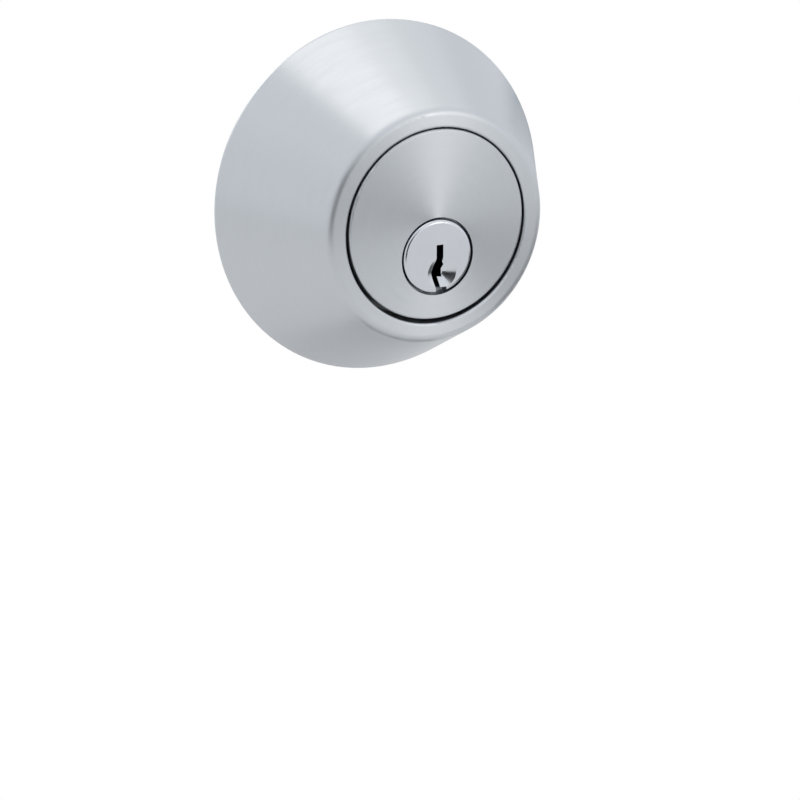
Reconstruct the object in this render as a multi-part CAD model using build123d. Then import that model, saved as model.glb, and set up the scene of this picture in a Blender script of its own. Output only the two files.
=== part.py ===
from build123d import *
import math
import os

# A single-cylinder deadbolt, in millimetres. The origin is on the key plug's axis at the door's outer
# face. +Y runs into the door, +X runs to the door's edge, the way that the bolt is thrown, +Z is up.

# Door that the lock is fitted to
DOOR_THICKNESS = 44.45
BACKSET = 60.3

# Outer collar: a spun cone with a flat front ring, whose hole turns in as a short tube
COLLAR_BASE_R = 33.6
COLLAR_HEIGHT = 23.3
COLLAR_LIP = 0.5
COLLAR_WALL = 1.5
COLLAR_RING = 3.35
COLLAR_HOLE_GAP = 0.5
SHOULDER_ROUND = 1.8
HOLE_ROUND = 0.45
COLLAR_SAG = 0.3

# Die-cast liner that backs the collar, with a ledge under the cylinder's head
LINER_WALL = 2.2
LINER_GAP = 0.1
LEDGE_THICK = 2.6

# Cylinder: a wide head on a narrower body, with the key plug below the body's axis
HEAD_R = 17.45
HEAD_THICK = 5.7
HEAD_PROUD = 0.1
HEAD_ROUND = 0.4
HEAD_STEP = 1.85
BODY_GAP = 0.6
POST_R = 3.0
PLUG_DROP = 5.72
WASHER_ROOM = 0.8
WASHER_GAP = 0.05
WASHER_EDGE = 0.2
WASHER_THICK = 0.35

# Key plug, keyway and pins
PLUG_R = 6.45
PLUG_RIM = 0.42
PLUG_RIM_GAP = 0.35
PLUG_FACE_THICK = 2.2
PLUG_PROUD = 0.25
PLUG_ROUND = 0.65
PLUG_END_STEP = 0.55
PLUG_END_LENGTH = 3.9
KEYWAY_FLOOR = 2.9
KEYWAY_X = 0.33
KEYWAY_TOP = 2.2
KEYWAY_SLOT = 1.36
DIMPLE_X = 0.8
DIMPLE_Z = -3.1
DIMPLE_R = 2.9
DIMPLE_FLOOR_R = 0.6
DIMPLE_DEPTH = 1.1
RUNNING_GAP = 0.05
PIN_R = 1.42
PIN_GAP = 0.06
PIN_PITCH = 3.96
FIRST_PIN = 6.1
KEY_PIN_LENGTHS = (4.9, 6.0, 4.4, 5.6, 4.7)
KEY_PIN_TIP = 1.0
KEY_PIN_BELOW = 0.2
DRIVER_LENGTH = 5.4
SPRING_R = 1.1
SPRING_WIRE_R = 0.16
SPRING_TURNS = 6
COVER_WIDTH = 5.0
COVER_THICK = 1.1
COVER_LIP = 0.7
COVER_SKIN = 0.6
GUARD_PIN_R = 0.9
GUARD_PIN_START = 6.5

# Cap and tailpiece on the plug's rear end
CAP_WALL = 1.2
CAP_HOLE_GAP = 0.67
CAP_GAP = 0.25
CASE_CLEARANCE = 1.025
BLADE_WIDTH = 6.0
BLADE_THICK = 2.4
TAIL_HEAD_EDGE = 0.9
TAIL_HEAD_THICK = 2.4
TAIL_GAP = 0.15

# Bolt and its tail
BOLT_THROW = 25.4
BOLT_WIDTH = 14.5
BOLT_HEIGHT = 18.0
BOLT_CORNER = 4.0
BOLT_NOSE_CHAMFER = 0.9
BOLT_GAP = 0.35
ROLLER_R = 3.6
ROLLER_LENGTH = 22.0
ROLLER_Z = -4.2
ROLLER_SKIN = 3.0
STOP_LENGTH = 3.5
TAIL_LAP = 11.2
TAIL_THICK = 2.5
TAIL_HUB_GAP = 0.9
TAIL_BAR_HEIGHT = 2.4
TAIL_TONGUE_LOW = 0.4
TAIL_RIVET_R = 1.5

# Crank that drives the tail through a quarter turn
HUB_R = 5.5
HUB_FLAT = 4.7
ARM_THICK = 3.0
ARM_ROOT = 4.2
ARM_TIP_R = 3.2
ARM_TAIL_GAP = 0.4
DRIVE_PIN_R = 1.6
YOKE_WALL = 1.75
PRESS_GAP = 0.02
LEAF_THICK = 0.4

# Bolt case: two side plates, a round sleeve and two end plates
PLATE_THICK = 1.5
PLATE_EDGE = 1.1
PLATE_CORNER = 4.0
PLATE_REAR = 6.2
TAB_LENGTH = 6.0
RIVET_R = 1.2
RIVET_WEB = 2.2
SLEEVE_GAP = 1.04
SLEEVE_WALL = 1.3
SLEEVE_LENGTH = 27.1
FACE_WIDTH = 25.4
FACE_HEIGHT = 57.2
FACE_THICK = 1.6
FACE_CORNER = 6.35
FACE_SCREW_PITCH = 41.3
WOOD_SCREW_R = 1.9
WOOD_SCREW_NECK_R = 1.55
WOOD_SCREW_HEAD_R = 4.0
WOOD_SCREW_LENGTH = 22.0
WOOD_SCREW_POINT = 5.0

# Inner rose, its support and the thumbturn
ROSE_BASE_R = 32.0
ROSE_SHOULDER_R = 25.0
ROSE_HEIGHT = 9.5
ROSE_LIP = 1.0
ROSE_WALL = 1.2
ROSE_ROUND = 2.0
SUPPORT_GAP = 1.05
SUPPORT_THICK = 2.0
BEARING_WALL = 2.0
BEARING_LENGTH = 6.0
BOSS_WALL = 0.4
NECK_R = 6.0
NECK_TAIL = 3.4
NECK_GAP = 0.25
FLANGE_STEP = 1.0
FLANGE_THICK = 1.6
TURN_WASHER_THICK = 0.5
PADDLE_ROOT = 6.4
PADDLE_LENGTH = 32.0
PADDLE_HEIGHT = 17.0
PADDLE_THICK = 7.4
PADDLE_TOP = 7.0
PADDLE_CORNER = 3.2
PADDLE_ROUND = 2.4
CLIP_THICK = 0.9
CLIP_GROOVE = 1.0
CLIP_GAP = 0.1
CLIP_OPENING = 7.0

# Long machine screws that pull the two halves together through the door
SCREW_X = 11.0
SCREW_R = 2.0
SCREW_HEAD_R = 3.8
SCREW_DEPTH = 13.2
SCREW_CLEARANCE = 1.0
SCREW_PASS_GAP = 0.5
RECESS_SPAN = 4.4
RECESS_WIDTH = 0.95
RECESS_DEPTH = 1.4

# Places worked out from the sizes above
CASE_Y = DOOR_THICKNESS / 2
CASE_INNER = BOLT_WIDTH / 2 + BOLT_GAP
CASE_OUTER = CASE_INNER + PLATE_THICK
FACE_FRONT = COLLAR_HEIGHT + HEAD_PROUD
HEAD_BACK = FACE_FRONT - HEAD_THICK
LEDGE_HEIGHT = HEAD_BACK - WASHER_ROOM
BODY_R = HEAD_R - HEAD_STEP
LEDGE_R = BODY_R + BODY_GAP
COLLAR_HOLE_R = HEAD_R + COLLAR_HOLE_GAP
COLLAR_SHOULDER_R = COLLAR_HOLE_R + COLLAR_RING
COLLAR_Z = PLUG_DROP - COLLAR_SAG
COLLAR_LEAN = (COLLAR_BASE_R - COLLAR_SHOULDER_R) / (COLLAR_HEIGHT - COLLAR_LIP)
PLUG_FRONT = FACE_FRONT + PLUG_PROUD
PLUG_FACE_R = PLUG_R + PLUG_RIM
PLUG_SEAT_R = PLUG_FACE_R + PLUG_RIM_GAP
PLUG_BORE_R = PLUG_R + RUNNING_GAP
PLUG_END_R = PLUG_R - PLUG_END_STEP
# The plug's cap stops short of the bolt case, and the cylinder's body stops short of the cap
CAP_END = CASE_Y - CASE_OUTER - CASE_CLEARANCE
PLUG_END = CAP_END - CAP_WALL - RUNNING_GAP
CAP_START = PLUG_END - PLUG_END_LENGTH
BODY_REACH = CAP_START - CAP_GAP
CAP_R = SCREW_X - SCREW_R - SCREW_CLEARANCE
CAP_HOLE_R = math.hypot(BLADE_WIDTH, BLADE_THICK) / 2 + CAP_HOLE_GAP
PIN_BORE_R = PIN_R + PIN_GAP
PIN_PLACES = [FIRST_PIN - FACE_FRONT + PIN_PITCH * i for i in range(len(KEY_PIN_LENGTHS))]
COVER_TOP = PLUG_DROP + BODY_R - COVER_SKIN
COVER_LOW = COVER_TOP - COVER_THICK
GUARD_PIN_Y = -PLUG_FRONT + PLUG_FACE_THICK + GUARD_PIN_R / 2
DRIVER_LOW = PLUG_BORE_R + RUNNING_GAP
DRIVER_HIGH = DRIVER_LOW + DRIVER_LENGTH
TAIL_HEAD_R = PLUG_END_R - TAIL_HEAD_EDGE
TAIL_HEAD_FRONT = PLUG_END - TAIL_HEAD_THICK - RUNNING_GAP
KEYWAY_END = TAIL_HEAD_FRONT - KEYWAY_FLOOR
STOP_RIVET_X = SCREW_X + SCREW_R + SCREW_PASS_GAP + RIVET_WEB + RIVET_R
BOLT_REAR = STOP_RIVET_X + RIVET_R + 4 * RUNNING_GAP
BOLT_CORNER_REACH = BOLT_CORNER + math.hypot(BOLT_WIDTH / 2 - BOLT_CORNER, BOLT_HEIGHT / 2 - BOLT_CORNER)
PLATE_BACK = BACKSET - 2 * FACE_THICK
SLEEVE_BACK = PLATE_BACK - SLEEVE_LENGTH
SLEEVE_BORE_R = BOLT_CORNER_REACH + SLEEVE_GAP
SLEEVE_R = SLEEVE_BORE_R + SLEEVE_WALL
TAB_HALF_HEIGHT = math.sqrt((SLEEVE_BORE_R - 2 * RUNNING_GAP) ** 2 - CASE_OUTER**2)
CRANK_R = BOLT_THROW / math.sqrt(2)
# A steady ratio between crank and bolt leaves the true sine by at most this much on the way
RATIO_ANGLE = math.acos(2 * math.sqrt(2) / math.pi)
RATIO_ERROR = CRANK_R * (math.sin(RATIO_ANGLE) - RATIO_ANGLE * 2 * math.sqrt(2) / math.pi)
YOKE_SLOT_HALF = DRIVE_PIN_R + RATIO_ERROR + 2 * RUNNING_GAP
YOKE_HALF = YOKE_SLOT_HALF + YOKE_WALL
YOKE_X = -BOLT_THROW / 2
ARM_LOW = CASE_Y + ARM_TAIL_GAP / 2
ARM_HIGH = ARM_LOW + ARM_THICK
TAIL_HIGH = ARM_LOW - ARM_TAIL_GAP
TAIL_LOW = TAIL_HIGH - TAIL_THICK
TAIL_BAR_LOW = HUB_R + TAIL_HUB_GAP
TAIL_BAR_HIGH = TAIL_BAR_LOW + TAIL_BAR_HEIGHT
TAIL_FRONT = BOLT_REAR + TAIL_LAP
TAIL_RIVET_X = BOLT_REAR + TAIL_LAP / 2
TAIL_RIVET_Z = (TAIL_TONGUE_LOW + TAIL_BAR_HIGH) / 2
ROLLER_BORE_R = ROLLER_R + RUNNING_GAP
ROLLER_FRONT = BACKSET - ROLLER_SKIN - RUNNING_GAP
ROLLER_REAR = ROLLER_FRONT - ROLLER_LENGTH
LEAF_TOP = -HUB_FLAT - RUNNING_GAP
LEAF_LOW = LEAF_TOP - LEAF_THICK
LEAF_RIVET_Z = LEAF_LOW - RUNNING_GAP - RIVET_R
LEAF_RIVET_X = SCREW_X - SCREW_R - RIVET_R
PLATE_HALF_HEIGHT = PLATE_EDGE + RIVET_R - LEAF_RIVET_Z
REAR_RIVET_X = -SCREW_X - PLATE_REAR / 2
REAR_RIVET_Z = -SCREW_R - 2 * RIVET_R
RIVETS = (
    (-LEAF_RIVET_X, LEAF_RIVET_Z),
    (LEAF_RIVET_X, LEAF_RIVET_Z),
    (REAR_RIVET_X, REAR_RIVET_Z),
    (STOP_RIVET_X, 0.0),
)
ROSE_FACE = DOOR_THICKNESS + ROSE_HEIGHT
ROSE_LEAN = (ROSE_BASE_R - ROSE_SHOULDER_R) / (ROSE_HEIGHT - ROSE_LIP)
ROSE_INSIDE_R = ROSE_BASE_R - ROSE_WALL * math.hypot(1, ROSE_LEAN)
# The lip's round stops short of the lip's own height
LIP_ROUND = min(ROSE_ROUND, 0.9 * ROSE_LIP / math.tan(math.atan(ROSE_LEAN) / 2))
SUPPORT_R = ROSE_INSIDE_R - SUPPORT_GAP
BEARING_R = NECK_R + BEARING_WALL
BOSS_R = SCREW_HEAD_R + BOSS_WALL
FLANGE_R = NECK_R + FLANGE_STEP
CLIP_GROOVE_R = NECK_R - CLIP_GROOVE
CLIP_R = SCREW_X - SCREW_R - SCREW_CLEARANCE
FLANGE_LOW = ROSE_FACE + TURN_WASHER_THICK
PADDLE_LOW = FLANGE_LOW + FLANGE_THICK
CLIP_HIGH = DOOR_THICKNESS - CLIP_GAP
BLADE_END = ROSE_FACE - ROSE_WALL
SCREWS = (-SCREW_X, SCREW_X)
FACE_SCREWS = (-FACE_SCREW_PITCH / 2, FACE_SCREW_PITCH / 2)


def rod_x(radius, x_from, x_to, y, z):
    """A round bar along X."""
    place = Plane(origin=(x_from, y, z), x_dir=(0, 1, 0), z_dir=(1, 0, 0))
    return place * Cylinder(radius, x_to - x_from, align=(Align.CENTER, Align.CENTER, Align.MIN))


def rod_y(radius, y_from, y_to, x=0.0, z=0.0):
    """A round bar along Y."""
    place = Plane(origin=(x, y_from, z), x_dir=(1, 0, 0), z_dir=(0, 1, 0))
    return place * Cylinder(radius, y_to - y_from, align=(Align.CENTER, Align.CENTER, Align.MIN))


def rod_z(radius, z_from, z_to, x, y):
    """A round bar along Z."""
    upright = Cylinder(radius, z_to - z_from, align=(Align.CENTER, Align.CENTER, Align.MIN))
    return Pos(x, y, z_from) * upright


def block(x_from, x_to, y_from, y_to, z_from, z_to):
    """A box between two corners."""
    middle = ((x_from + x_to) / 2, (y_from + y_to) / 2, (z_from + z_to) / 2)
    return Pos(*middle) * Box(x_to - x_from, y_to - y_from, z_to - z_from)


def slab_x(outline, x_from, x_to):
    """An outline drawn in Y and Z, carried along X."""
    drawn = Plane(origin=(x_from, 0, 0), x_dir=(0, 1, 0), z_dir=(1, 0, 0)) * outline
    return extrude(drawn, x_to - x_from)


def slab_y(outline, y_from, y_to):
    """An outline drawn in X and Z, carried along Y."""
    drawn = Plane(origin=(0, y_to, 0), x_dir=(1, 0, 0), z_dir=(0, -1, 0)) * outline
    return extrude(drawn, y_to - y_from)


def closed_outline(points, rounds=()):
    """A flat face through the points, with some corners rounded: (corner number, radius)."""
    face = Sketch() + make_face(Polyline(*points, close=True))
    for corner, radius in rounds:
        face = fillet(face.vertices().sort_by_distance(points[corner])[0], radius)
    return face


def turned(points, axis_z=0.0, rounds=()):
    """A ring or shell turned about a line along Y at height axis_z: points are (radius, y)."""
    return Pos(0, 0, axis_z) * revolve(closed_outline(points, rounds), Axis.Y)


def group(solids):
    """Separate solids that share one node."""
    return Compound(children=list(solids))


def collar_inside_r(height):
    """Radius of the collar's inner wall at a height above the door."""
    along_radius = COLLAR_WALL * math.hypot(1, COLLAR_LEAN)
    return COLLAR_BASE_R - along_radius - COLLAR_LEAN * max(0.0, height - COLLAR_LIP)


def cross_recess(place):
    """The driver recess of a screw, cut down from the face that place lies on."""
    across = Box(RECESS_SPAN, RECESS_WIDTH, 2 * RECESS_DEPTH)
    return place * (across + Rot(0, 0, 90) * across)


def make_outer_collar():
    front = -COLLAR_HEIGHT
    under = front + COLLAR_WALL
    tube_end = -LEDGE_HEIGHT
    tube_r = COLLAR_HOLE_R + COLLAR_WALL
    points = [
        (COLLAR_BASE_R, 0),
        (COLLAR_BASE_R, -COLLAR_LIP),
        (COLLAR_SHOULDER_R, front),
        (COLLAR_HOLE_R, front),
        (COLLAR_HOLE_R, tube_end),
        (tube_r, tube_end),
        (tube_r, under),
        (collar_inside_r(-under), under),
        (collar_inside_r(COLLAR_LIP), -COLLAR_LIP),
        (collar_inside_r(0), 0),
    ]
    return turned(points, COLLAR_Z, [(2, SHOULDER_ROUND), (3, HOLE_ROUND)])


def make_collar_liner():
    top = -LEDGE_HEIGHT
    under = top + LEDGE_THICK
    points = [
        (LEDGE_R, under),
        (LEDGE_R, top),
        (collar_inside_r(LEDGE_HEIGHT) - LINER_GAP, top),
        (collar_inside_r(COLLAR_LIP) - LINER_GAP, -COLLAR_LIP),
        (collar_inside_r(0) - LINER_GAP, 0),
        (collar_inside_r(0) - LINER_GAP - LINER_WALL, 0),
        (collar_inside_r(-under) - LINER_GAP - LINER_WALL, under),
    ]
    return turned(points, COLLAR_Z)


def make_collar_washer():
    inner_r = BODY_R + WASHER_EDGE
    outer_r = HEAD_R - WASHER_EDGE
    points = [
        (inner_r, -HEAD_BACK),
        (inner_r, -HEAD_BACK + WASHER_THICK),
        (outer_r, -LEDGE_HEIGHT - WASHER_GAP),
        (outer_r, -LEDGE_HEIGHT - WASHER_GAP - WASHER_THICK),
    ]
    return turned(points, PLUG_DROP)


def guard_pin_places():
    """(height, right-hand end) of the two hardened pins that cross the head above and below the plug."""
    beside = PLUG_SEAT_R + 2 * GUARD_PIN_R
    for z in (beside, -beside):
        reach = math.sqrt(HEAD_R**2 - (abs(z - PLUG_DROP) + GUARD_PIN_R) ** 2)
        yield z, reach - WASHER_EDGE


def make_cylinder_body():
    points = [
        (0, -FACE_FRONT),
        (HEAD_R, -FACE_FRONT),
        (HEAD_R, -HEAD_BACK),
        (BODY_R, -HEAD_BACK),
        (BODY_R, BODY_REACH),
        (0, BODY_REACH),
    ]
    body = turned(points, PLUG_DROP, [(1, HEAD_ROUND)])
    for x in SCREWS:
        body += rod_y(POST_R, BODY_REACH - SCREW_DEPTH - POST_R, BODY_REACH, x)
    body -= rod_y(PLUG_BORE_R, -FACE_FRONT - 1, BODY_REACH + 1)
    seat = -PLUG_FRONT + PLUG_FACE_THICK + RUNNING_GAP
    body -= rod_y(PLUG_SEAT_R, -FACE_FRONT - 1, seat)
    for y in PIN_PLACES:
        body -= rod_z(PIN_BORE_R, 0, COVER_TOP, 0, y)
    half = COVER_WIDTH / 2
    start = PIN_PLACES[0] - half
    body -= block(-half, half, start, BODY_REACH + 1, COVER_LOW, COVER_TOP)
    body -= block(COVER_LIP - half, half - COVER_LIP, start, BODY_REACH + 1, COVER_LOW, COVER_TOP + 2)
    for x in SCREWS:
        body -= rod_y(SCREW_R + RUNNING_GAP, BODY_REACH - SCREW_DEPTH - 1, BODY_REACH + 1, x)
    for z, end in guard_pin_places():
        body -= rod_x(GUARD_PIN_R + PRESS_GAP, -GUARD_PIN_START, HEAD_R, GUARD_PIN_Y, z)
    return body


def make_guard_pins():
    return group(
        rod_x(GUARD_PIN_R, -GUARD_PIN_START, end, GUARD_PIN_Y, z) for z, end in guard_pin_places()
    )


def keyway_outline():
    """The warded slot, from its straight top down through two bends to a foot at the plug's rim."""
    half = KEYWAY_SLOT / 2
    right = [(half, KEYWAY_TOP), (half, -1.15), (half + 0.4, -1.7), (half + 0.08, -2.6), (half + 0.15, -4.1)]
    ward = [(-0.14, -3.95), (0.17, -5.8), (1.35, -5.8), (1.75, -PLUG_FACE_R - 1)]
    foot = [(-0.72, -PLUG_FACE_R - 1), (-0.78, -5.95), (-1.3, -4.1), (-1.55, -3.05), (-1.04, -1.55)]
    left = [(-half, -0.25), (-half, KEYWAY_TOP)]
    return [(x + KEYWAY_X, z) for x, z in right + ward + foot + left]


def make_plug():
    seat = -PLUG_FRONT + PLUG_FACE_THICK
    points = [
        (0, -PLUG_FRONT),
        (PLUG_FACE_R, -PLUG_FRONT),
        (PLUG_FACE_R, seat),
        (PLUG_R, seat),
        (PLUG_R, CAP_START),
        (PLUG_END_R, CAP_START),
        (PLUG_END_R, PLUG_END),
        (0, PLUG_END),
    ]
    plug = turned(points, 0.0, [(1, PLUG_ROUND)])
    plug -= slab_y(closed_outline(keyway_outline()), -PLUG_FRONT - 1, KEYWAY_END)
    dimple = [
        (0, -PLUG_FRONT),
        (DIMPLE_R, -PLUG_FRONT),
        (DIMPLE_FLOOR_R, -PLUG_FRONT + DIMPLE_DEPTH),
        (0, -PLUG_FRONT + DIMPLE_DEPTH),
    ]
    plug -= Pos(DIMPLE_X, 0, 0) * turned(dimple, DIMPLE_Z)
    for y in PIN_PLACES:
        plug -= rod_z(PIN_BORE_R, PLUG_R - max(KEY_PIN_LENGTHS) - 2 * KEY_PIN_BELOW, PLUG_R + 1, 0, y)
    return plug - slab_y(lost_motion_recess(), TAIL_HEAD_FRONT - RUNNING_GAP, PLUG_END + 1)


def lost_motion_recess():
    """A bow tie in the plug's end: the tailpiece's head lies at its start and has a quarter turn free."""
    reach = TAIL_HEAD_R + TAIL_GAP
    bar = Rectangle(BLADE_THICK + 2 * TAIL_GAP, 2 * reach)
    quarter = Circle(reach) & Pos(-reach / 2, reach / 2) * Rectangle(reach, reach)
    bow = bar & Circle(reach)
    return bow + Rot(0, 0, 90) * bow + quarter + Rot(0, 0, 180) * quarter


def make_key_pins():
    top = PLUG_R - KEY_PIN_BELOW
    pins = []
    for y, length in zip(PIN_PLACES, KEY_PIN_LENGTHS):
        low = top - length
        tip = Pos(0, y, low) * Cone(
            PIN_R / 3, PIN_R, KEY_PIN_TIP, align=(Align.CENTER, Align.CENTER, Align.MIN)
        )
        pins.append(tip + rod_z(PIN_R, low + KEY_PIN_TIP, top, 0, y))
    return group(pins)


def make_driver_pins():
    return group(rod_z(PIN_R, DRIVER_LOW, DRIVER_HIGH, 0, y) for y in PIN_PLACES)


def make_pin_springs():
    low = DRIVER_HIGH + SPRING_WIRE_R + RUNNING_GAP
    high = COVER_LOW - SPRING_WIRE_R - RUNNING_GAP
    coil = Helix(pitch=(high - low) / SPRING_TURNS, height=high - low, radius=SPRING_R)
    wire = Plane(origin=coil @ 0, z_dir=coil % 0) * Circle(SPRING_WIRE_R)
    spring = sweep(wire, path=coil, is_frenet=True)
    print("pin spring: gap between turns", round((high - low) / SPRING_TURNS - 2 * SPRING_WIRE_R, 2))
    return group(Pos(0, y, low) * spring for y in PIN_PLACES)


def make_pin_cover():
    half = COVER_WIDTH / 2 - RUNNING_GAP
    start = PIN_PLACES[0] - half
    return block(-half, half, start, BODY_REACH - COVER_LIP, COVER_LOW, COVER_TOP - RUNNING_GAP)


def make_plug_cap():
    bore_r = PLUG_END_R + RUNNING_GAP
    floor = PLUG_END + RUNNING_GAP
    points = [
        (bore_r, CAP_START),
        (CAP_R, CAP_START),
        (CAP_R, CAP_END),
        (CAP_HOLE_R, CAP_END),
        (CAP_HOLE_R, floor),
        (bore_r, floor),
    ]
    return turned(points)


def make_tailpiece():
    head = Rectangle(BLADE_THICK, 2 * TAIL_HEAD_R) & Circle(TAIL_HEAD_R)
    blade = Rectangle(BLADE_THICK, BLADE_WIDTH)
    tail = slab_y(head, TAIL_HEAD_FRONT, TAIL_HEAD_FRONT + TAIL_HEAD_THICK)
    return tail + slab_y(blade, TAIL_HEAD_FRONT, BLADE_END)


def blade_slot(y_from, y_to):
    """The slot that the tailpiece's blade drives, or is driven by."""
    return slab_y(Rectangle(BLADE_THICK + 2 * TAIL_GAP, BLADE_WIDTH + 2 * TAIL_GAP), y_from, y_to)


def bolt_section(gap=0.0):
    """The bolt's cross-section, or the opening that it slides through."""
    section = RectangleRounded(BOLT_WIDTH + 2 * gap, BOLT_HEIGHT + 2 * gap, BOLT_CORNER + gap)
    return Pos(CASE_Y, 0) * section


def make_bolt():
    bolt = slab_x(bolt_section(), BOLT_REAR, BACKSET)
    bolt = chamfer(bolt.faces().sort_by(Axis.X)[-1].edges(), BOLT_NOSE_CHAMFER)
    bolt -= rod_x(ROLLER_BORE_R, BOLT_REAR - 1, ROLLER_FRONT + RUNNING_GAP, CASE_Y, ROLLER_Z)
    slot_low = TAIL_TONGUE_LOW - TAIL_GAP
    bolt -= block(
        BOLT_REAR - 1,
        TAIL_FRONT + TAIL_GAP,
        TAIL_LOW - TAIL_GAP / 2,
        TAIL_HIGH + TAIL_GAP / 2,
        slot_low,
        BOLT_HEIGHT,
    )
    return bolt - rod_y(TAIL_RIVET_R + PRESS_GAP, 0, DOOR_THICKNESS, TAIL_RIVET_X, TAIL_RIVET_Z)


def make_bolt_roller():
    return rod_x(ROLLER_R, ROLLER_REAR, ROLLER_FRONT, CASE_Y, ROLLER_Z)


def make_roller_stop():
    end = ROLLER_REAR - RUNNING_GAP
    return rod_x(ROLLER_BORE_R - PRESS_GAP, end - STOP_LENGTH, end, CASE_Y, ROLLER_Z)


def make_bolt_tail():
    """A flat bar over the hub: a tongue in the bolt at one end, an upright yoke with a slot at the other."""
    slot_low = CRANK_R / math.sqrt(2) - DRIVE_PIN_R - TAIL_GAP
    slot_high = CRANK_R + DRIVE_PIN_R + TAIL_GAP
    end_z = slot_high - YOKE_SLOT_HALF
    yoke = Pos(YOKE_X, (TAIL_BAR_LOW + end_z) / 2) * Rectangle(2 * YOKE_HALF, end_z - TAIL_BAR_LOW)
    yoke += Pos(YOKE_X, end_z) * Circle(YOKE_HALF)
    bar_from = YOKE_X - YOKE_HALF
    bar_middle = ((bar_from + TAIL_FRONT) / 2, (TAIL_BAR_LOW + TAIL_BAR_HIGH) / 2)
    bar = Pos(*bar_middle) * Rectangle(TAIL_FRONT - bar_from, TAIL_BAR_HIGH - TAIL_BAR_LOW)
    tongue_from = BOLT_REAR + TAIL_GAP
    tongue_middle = ((tongue_from + TAIL_FRONT) / 2, (TAIL_TONGUE_LOW + TAIL_BAR_HIGH) / 2)
    tongue = Pos(*tongue_middle) * Rectangle(TAIL_FRONT - tongue_from, TAIL_BAR_HIGH - TAIL_TONGUE_LOW)
    slot = Pos(YOKE_X, (slot_low + slot_high) / 2) * SlotOverall(
        slot_high - slot_low, 2 * YOKE_SLOT_HALF, rotation=90
    )
    tail = slab_y(yoke + bar + tongue - slot, TAIL_LOW, TAIL_HIGH)
    return tail - rod_y(TAIL_RIVET_R + PRESS_GAP, TAIL_LOW - 1, TAIL_HIGH + 1, TAIL_RIVET_X, TAIL_RIVET_Z)


def make_tail_rivet():
    reach = BOLT_WIDTH / 2
    return rod_y(TAIL_RIVET_R, CASE_Y - reach, CASE_Y + reach, TAIL_RIVET_X, TAIL_RIVET_Z)


def make_crank():
    """A hub across the case, square between its two journals, with an arm up and back at 45 degrees."""
    reach = CASE_OUTER - RUNNING_GAP
    square = CASE_INNER - TAIL_GAP
    wide = 2 * HUB_R
    waist = (CASE_Y - square, CASE_Y + square)
    hub = rod_y(HUB_R, CASE_Y - reach, CASE_Y + reach)
    hub -= block(-wide, wide, *waist, -wide, wide) - block(-HUB_FLAT, HUB_FLAT, *waist, -HUB_FLAT, HUB_FLAT)
    arm_outline = closed_outline(
        [(-ARM_ROOT, 0), (ARM_ROOT, 0), (ARM_TIP_R, CRANK_R), (-ARM_TIP_R, CRANK_R)]
    )
    arm = slab_y(arm_outline + Pos(0, CRANK_R) * Circle(ARM_TIP_R), ARM_LOW, ARM_HIGH)
    arm -= rod_y(DRIVE_PIN_R + PRESS_GAP, ARM_LOW - 1, ARM_HIGH + 1, 0, CRANK_R)
    return hub + Rot(0, -45, 0) * arm - blade_slot(CASE_Y - CASE_OUTER, CASE_Y + CASE_OUTER)


def make_drive_pin():
    place = CRANK_R / math.sqrt(2)
    return rod_y(DRIVE_PIN_R, TAIL_LOW - TAIL_GAP, ARM_HIGH, -place, place)


def make_detent_leaf():
    """A thin leaf under the hub's flat, with its two ends turned down past the rivets that hold it."""
    half_width = CASE_INNER - 2 * TAIL_GAP
    end = LEAF_RIVET_X + RIVET_R + TAIL_GAP
    wide = (CASE_Y - half_width, CASE_Y + half_width)
    leaf = block(-end - LEAF_THICK, end + LEAF_THICK, *wide, LEAF_LOW, LEAF_TOP)
    for side in (-1, 1):
        low, high = sorted((side * end, side * (end + LEAF_THICK)))
        leaf += block(low, high, *wide, LEAF_RIVET_Z, LEAF_TOP)
    return leaf


def make_case_plate(side):
    """One side plate of the bolt case: side is -1 towards the outside of the door, 1 towards the inside."""
    rear = -SCREW_X - PLATE_REAR
    front = SLEEVE_BACK + TAB_LENGTH
    points = [
        (rear, -PLATE_HALF_HEIGHT),
        (SLEEVE_BACK, -PLATE_HALF_HEIGHT),
        (SLEEVE_BACK, -TAB_HALF_HEIGHT),
        (front, -TAB_HALF_HEIGHT),
        (front, TAB_HALF_HEIGHT),
        (SLEEVE_BACK, TAB_HALF_HEIGHT),
        (SLEEVE_BACK, PLATE_HALF_HEIGHT),
        (rear, PLATE_HALF_HEIGHT),
    ]
    outline = closed_outline(points, [(0, PLATE_CORNER), (7, PLATE_CORNER)])
    low, high = sorted((side * CASE_INNER, side * CASE_OUTER))
    plate = slab_y(outline, CASE_Y + low, CASE_Y + high)
    through = (CASE_Y - 2 * CASE_OUTER, CASE_Y + 2 * CASE_OUTER)
    plate -= rod_y(HUB_R + RUNNING_GAP, *through)
    for x in SCREWS:
        plate -= rod_y(SCREW_R + SCREW_PASS_GAP, *through, x)
    for x, z in RIVETS:
        plate -= rod_y(RIVET_R + PRESS_GAP, *through, x, z)
    return plate


def make_case_rivets():
    return group(rod_y(RIVET_R, CASE_Y - CASE_OUTER, CASE_Y + CASE_OUTER, x, z) for x, z in RIVETS)


def make_bolt_sleeve():
    tube = rod_x(SLEEVE_R, SLEEVE_BACK, PLATE_BACK, CASE_Y, 0)
    return tube - rod_x(SLEEVE_BORE_R, SLEEVE_BACK - 1, PLATE_BACK + 1, CASE_Y, 0)


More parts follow.
